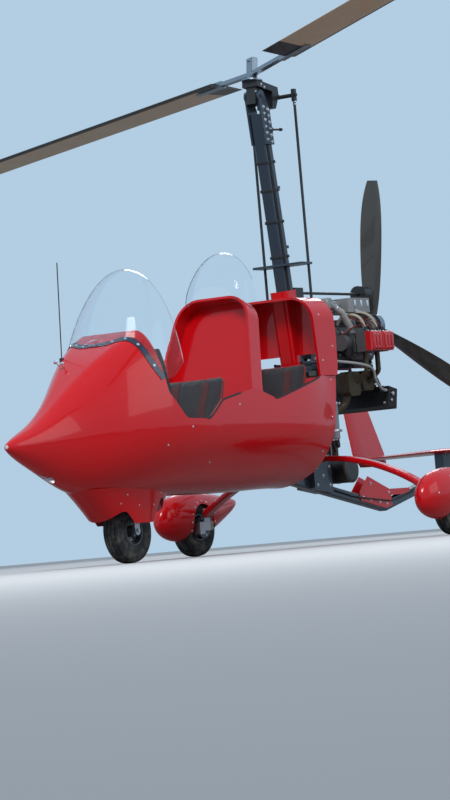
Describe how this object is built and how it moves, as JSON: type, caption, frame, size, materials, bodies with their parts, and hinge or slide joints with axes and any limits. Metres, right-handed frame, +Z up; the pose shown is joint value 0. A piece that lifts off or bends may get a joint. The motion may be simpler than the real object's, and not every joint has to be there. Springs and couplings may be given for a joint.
{
  "type": "two-seat tandem gyrocopter",
  "caption": "Open tandem gyrocopter with a red pod, a two-blade rotor on a leaning mast, a pusher propeller and fixed tricycle wheels.",
  "frame": {"origin": "on the ground, on the centreline, midway between the nose tip and the tail end", "axes": "+X forward along the fuselage, +Y to port (left), +Z up"},
  "size_m": [4.94, 7.6126, 3.2548],
  "materials": {
    "red_gloss": "glossy painted composite",
    "red_paint": "gloss paint",
    "frame_paint": "satin blue-grey paint",
    "black_paint": "satin black",
    "steel": "machined",
    "alloy": "machined",
    "cast_alloy": "as cast",
    "rim_paint": "satin",
    "tyre": "moulded",
    "heat_stained": "heat-stained",
    "rubber": "moulded",
    "blade_tan": "painted composite",
    "blade_dark": "painted composite",
    "seat": "padded cloth",
    "clear_screen": "clear acrylic",
    "panel_black": "textured"
  },
  "bodies": {
    "airframe": {"pod_shell": "red_gloss", "chin_fairing": "red_gloss", "rear_cowl": "red_gloss", "seat_hoop": "red_gloss", "gear_bow": "red_paint", "gear_saddle": "frame_paint", "keel": "frame_paint", "keel_gusset": "red_paint", "mast": "frame_paint", "main_axles": "steel", "spats": "red_gloss", "engine_block": "cast_alloy", "cylinder_heads": "cast_alloy", "rocker_covers": "red_paint", "radiator": "black_paint", "canister": "alloy", "silencer": "black_paint", "intake": "cast_alloy", "exhaust": "heat_stained", "hoses": "rubber", "engine_frame": "frame_paint", "rotor_drive": "black_paint", "rod_guides": "frame_paint", "stabiliser": "red_gloss", "tip_plates": "red_gloss", "tail_fin": "red_gloss", "tail_saddle": "frame_paint", "head_cheeks": "frame_paint", "front_seat": "seat", "rear_seat": "seat", "control_sticks": "black_paint", "front_screen": "clear_screen", "rear_screen": "clear_screen", "instrument_panel": "panel_black", "antenna": "black_paint"},
    "nose_fork": {"nose_fork": "steel"},
    "nose_wheel": {"nose_rim": "rim_paint", "nose_tyre": "tyre"},
    "main_wheel_left": {"main_rim_left": "rim_paint", "main_tyre_left": "tyre"},
    "main_wheel_right": {"main_rim_right": "rim_paint", "main_tyre_right": "tyre"},
    "propeller": {"prop_hub": "alloy", "prop_blades": "blade_dark"},
    "rotor_head": {"head_block": "black_paint"},
    "rotor_tower": {"rotor_tower": "alloy"},
    "rotor": {"hub_bar": "alloy", "rotor_blades": "blade_tan"},
    "push_rod_left": {"push_rod_left": "black_paint"},
    "push_rod_right": {"push_rod_right": "black_paint"},
    "rudder": {"rudder": "red_gloss"}
  },
  "joints": [
    {"name": "nose_steer", "type": "hinge", "parent": "airframe", "child": "nose_fork", "pos_m": [1.49, 0, 0.38], "axis": [0, 0, 1], "range_deg": [-20, 20]},
    {"name": "nose_wheel_spin", "type": "hinge", "parent": "nose_fork", "child": "nose_wheel", "pos_m": [1.47, 0, 0.17], "axis": [0, 1, 0], "continuous": true},
    {"name": "main_wheel_left_spin", "type": "hinge", "parent": "airframe", "child": "main_wheel_left", "pos_m": [-0.46, 0.88, 0.17], "axis": [0, 1, 0], "continuous": true},
    {"name": "main_wheel_right_spin", "type": "hinge", "parent": "airframe", "child": "main_wheel_right", "pos_m": [-0.46, -0.88, 0.17], "axis": [0, 1, 0], "continuous": true},
    {"name": "propeller_spin", "type": "hinge", "parent": "airframe", "child": "propeller", "pos_m": [-1.23, 0, 1.27], "axis": [1, 0, 0], "continuous": true},
    {"name": "head_pitch", "type": "hinge", "parent": "airframe", "child": "rotor_head", "pos_m": [-0.142, 0, 2.575], "axis": [0, 1, 0], "range_deg": [-8, 8]},
    {"name": "rotor_spin", "type": "hinge", "parent": "rotor_head", "child": "rotor_tower", "pos_m": [-0.1536, 0, 2.78065], "axis": [-0.153, 0, 0.9882], "continuous": true},
    {"name": "rotor_teeter", "type": "hinge", "parent": "rotor_tower", "child": "rotor", "pos_m": [-0.1536, 0, 2.78065], "axis": [-0.8766, 0.4617, -0.1357], "range_deg": [-7, 7]},
    {"name": "push_rod_left_slide", "type": "slide", "parent": "airframe", "child": "push_rod_left", "axis": [0, 0, 1], "range_m": [-0.0266, 0.0266]},
    {"name": "push_rod_right_slide", "type": "slide", "parent": "airframe", "child": "push_rod_right", "axis": [0, 0, 1], "range_m": [-0.0266, 0.0266]},
    {"name": "rudder_hinge", "type": "hinge", "parent": "airframe", "child": "rudder", "pos_m": [-2.24, 0, 0.965], "axis": [0, 0, 1], "range_deg": [-25, 25]}
  ],
  "couplings": [
    {"joint": "push_rod_left_slide", "follows": "head_pitch", "m_per_rad": 0.19},
    {"joint": "push_rod_right_slide", "follows": "head_pitch", "m_per_rad": 0.19},
    {"joint": "rudder_hinge", "follows": "nose_steer", "ratio": -1.25}
  ]
}
